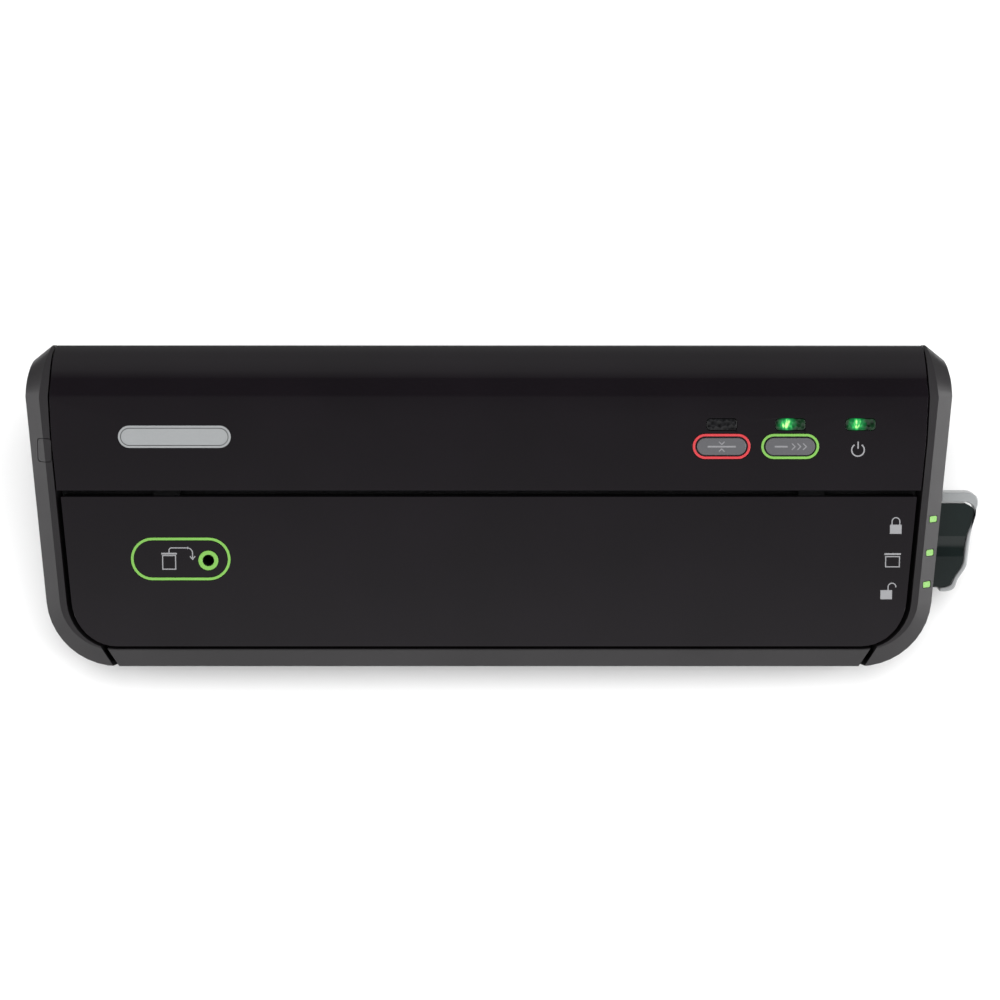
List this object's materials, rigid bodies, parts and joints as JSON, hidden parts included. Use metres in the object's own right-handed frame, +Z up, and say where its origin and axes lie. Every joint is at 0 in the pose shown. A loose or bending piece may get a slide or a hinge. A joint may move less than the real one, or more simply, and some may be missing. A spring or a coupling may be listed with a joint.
{
  "type": "vacuum sealer",
  "caption": "Countertop vacuum sealer: long sloping case, hinged gloss lid over a vacuum channel and seal bar, two push keys, side latch lever and accessory port.",
  "frame": {"origin": "bottom centre of the whole object's box, lever included, on the surface that it stands on", "axes": "+X to the user's right along the case, +Y to the back, +Z up"},
  "size_m": [0.445, 0.145, 0.0866],
  "materials": {
    "gloss_black": "high gloss moulded black",
    "satin_grey": "fine satin moulded charcoal",
    "inner_plastic": "plain moulded black",
    "black_rubber": "matte rubber",
    "lime": "smooth lime green",
    "red": "smooth red",
    "grey_button": "satin mid grey",
    "steel": "plain zinc-plated steel",
    "silver": "satin silver paint",
    "circuit_board": "green solder mask",
    "copper_coil": "enamelled copper windings",
    "silicone": "grey silicone",
    "release_tape": "woven non-stick tape",
    "black_switch": "black moulded switch",
    "light_lens": "smoked green lens"
  },
  "bodies": {
    "case": {"base_shell": "satin_grey", "right_cheek": "satin_grey", "left_cheek": "satin_grey", "front_apron": "satin_grey", "left_rail_cap": "satin_grey", "rear_housing": "gloss_black", "mark_operate": "lime", "mark_store": "lime", "mark_open": "lime", "vac_seal_ring": "lime", "seal_ring": "red", "cord_inlet": "black_rubber", "foot_1": "black_rubber", "foot_2": "black_rubber", "foot_3": "black_rubber", "foot_4": "black_rubber", "lower_gasket": "black_rubber", "base_screw_1": "steel", "base_screw_2": "steel", "base_screw_3": "steel", "base_screw_4": "steel", "heating_element": "steel", "right_hinge_pin": "steel", "left_hinge_pin": "steel", "pump_motor": "steel", "transformer_core": "steel", "deck": "inner_plastic", "drip_tray": "inner_plastic", "seal_bar": "inner_plastic", "pump_head": "inner_plastic", "vacuum_hose": "silicone", "release_tape": "release_tape", "lid_switch": "black_switch", "seal_switch": "black_switch", "vac_seal_switch": "black_switch", "blank_badge": "silver", "seal_light": "light_lens", "vac_seal_light": "light_lens", "power_light": "light_lens", "control_board": "circuit_board", "main_board": "circuit_board", "transformer_coil": "copper_coil"},
    "lid": {"lid_cover": "gloss_black", "lid_liner": "inner_plastic", "upper_gasket": "black_rubber", "pressure_strip": "silicone", "right_catch": "steel", "left_catch": "steel", "port_ring": "lime", "port_plate": "gloss_black", "port_grommet": "lime", "port_tube": "inner_plastic"},
    "latch": {"latch_shaft": "steel", "right_hook": "steel", "left_hook": "steel", "lever_blade": "gloss_black", "lever_trim": "silver"},
    "seal_key": {"seal_button": "grey_button"},
    "vac_seal_key": {"vac_seal_button": "grey_button"},
    "pump_shaft": {"pump_crank": "steel"}
  },
  "joints": [
    {"name": "lid_hinge", "type": "hinge", "parent": "case", "child": "lid", "pos_m": [-0.00855, 0.00816, 0.06381], "axis": [-1, 0, 0], "range_deg": [0, 65]},
    {"name": "latch_turn", "type": "hinge", "parent": "case", "child": "latch", "pos_m": [-0.00855, -0.02488, 0.02075], "axis": [1, 0, 0], "range_deg": [0, 90]},
    {"name": "seal_press", "type": "slide", "parent": "case", "child": "seal_key", "axis": [0, 0.4067, -0.9135], "range_m": [0, 0.0012], "stiffness_N_per_m": 400},
    {"name": "vac_seal_press", "type": "slide", "parent": "case", "child": "vac_seal_key", "axis": [0, 0.4067, -0.9135], "range_m": [0, 0.0012], "stiffness_N_per_m": 400},
    {"name": "pump_spin", "type": "hinge", "parent": "case", "child": "pump_shaft", "pos_m": [-0.00855, 0.0435, 0.032], "axis": [1, 0, 0], "continuous": true}
  ]
}
